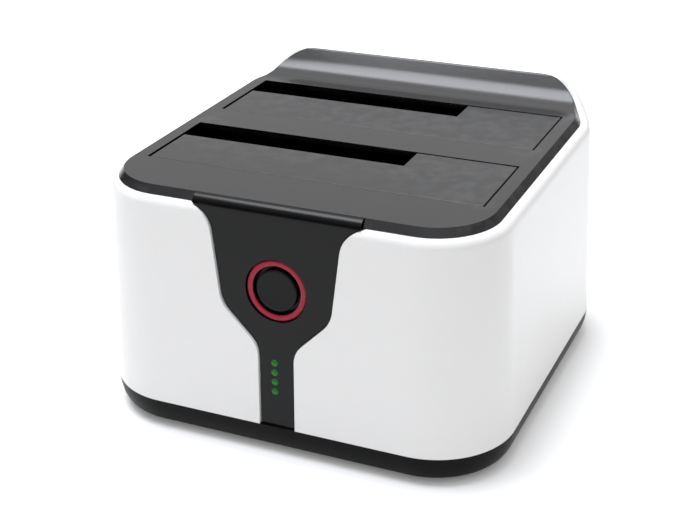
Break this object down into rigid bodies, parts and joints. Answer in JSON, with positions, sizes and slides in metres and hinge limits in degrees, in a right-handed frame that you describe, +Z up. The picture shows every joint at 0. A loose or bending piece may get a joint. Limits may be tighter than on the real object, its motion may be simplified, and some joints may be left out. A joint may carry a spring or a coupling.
{
  "type": "hard drive docking station",
  "caption": "Desktop dock with drive bays under sprung flap doors, a funnel-shaped front panel with a ringed push button and status lights, and ports at the back.",
  "frame": {"origin": "middle of the footprint on the floor", "axes": "+Z up, -Y towards the front panel, +X to the right seen from the front"},
  "size_m": [0.1264, 0.1256, 0.084],
  "materials": {
    "shell_white": "glossy white moulded plastic",
    "lid_black": "satin black plastic with a fine spark texture",
    "door_black": "satin black plastic with a fine spark texture",
    "panel_black": "satin black plastic",
    "base_black": "matt black plastic",
    "guide_black": "matt black plastic",
    "cap_black": "satin black plastic",
    "ring_red": "translucent dark red plastic",
    "light_green": "translucent green plastic",
    "led_clear": "clear lamp plastic",
    "rubber_black": "matt black rubber",
    "steel": "plain steel",
    "board_green": "green solder mask on glass fibre",
    "chip_black": "moulded black plastic",
    "plunger_white": "white nylon",
    "contact_gold": "gold plate",
    "can_aluminium": "bare aluminium",
    "ferrite_grey": "grey ferrite",
    "port_metal": "plated steel sheet",
    "port_blue": "blue plastic",
    "switch_black": "glossy black plastic"
  },
  "bodies": {
    "housing": {"outer_shell": "shell_white", "base_tray": "base_black", "rubber_feet": "rubber_black", "base_screws": "steel", "drive_guide": "guide_black", "top_cover": "lid_black", "lid_screws": "steel", "front_door_pin": "steel", "rear_door_pin": "steel", "front_door_spring": "steel", "rear_door_spring": "steel", "front_panel": "panel_black", "button_ring": "ring_red", "light_guide": "light_green", "front_board": "board_green", "push_switch": "chip_black", "status_leds": "led_clear", "front_board_screws": "steel", "main_board": "board_green", "board_screws": "steel", "board_header": "chip_black", "front_sata_connector": "chip_black", "rear_sata_connector": "chip_black", "front_sata_contacts": "contact_gold", "rear_sata_contacts": "contact_gold", "bridge_chip": "chip_black", "capacitors": "can_aluminium", "inductors": "ferrite_grey", "crystal": "can_aluminium", "rear_port_plate": "panel_black", "usb_port_shell": "port_metal", "usb_port_insert": "port_blue", "dc_jack_body": "chip_black", "dc_jack_pin": "steel", "rocker_housing": "switch_black"},
    "front_door": {"front_door": "door_black"},
    "rear_door": {"rear_door": "door_black"},
    "button": {"button_cap": "cap_black", "switch_plunger": "plunger_white"},
    "power_rocker": {"rocker": "switch_black"}
  },
  "joints": [
    {"name": "front_door_swing", "type": "hinge", "parent": "housing", "child": "front_door", "pos_m": [0, -0.0358, 0.073], "axis": [-1, 0, 0], "range_deg": [0, 85], "stiffness_Nm_per_rad": 0.01, "springref_deg": -28.65, "deforming": ["front_door_spring"]},
    {"name": "rear_door_swing", "type": "hinge", "parent": "housing", "child": "rear_door", "pos_m": [0, 0.01, 0.073], "axis": [-1, 0, 0], "range_deg": [0, 85], "stiffness_Nm_per_rad": 0.01, "springref_deg": -28.65, "deforming": ["rear_door_spring"]},
    {"name": "button_press", "type": "slide", "parent": "housing", "child": "button", "axis": [0, 0.9992, -0.0401], "range_m": [0, 0.0012], "stiffness_N_per_m": 400, "springref_m": -0.001},
    {"name": "rocker_tip", "type": "hinge", "parent": "housing", "child": "power_rocker", "pos_m": [0.022, 0.05619, 0.01919], "axis": [1, 0, 0], "range_deg": [0, 14]}
  ]
}
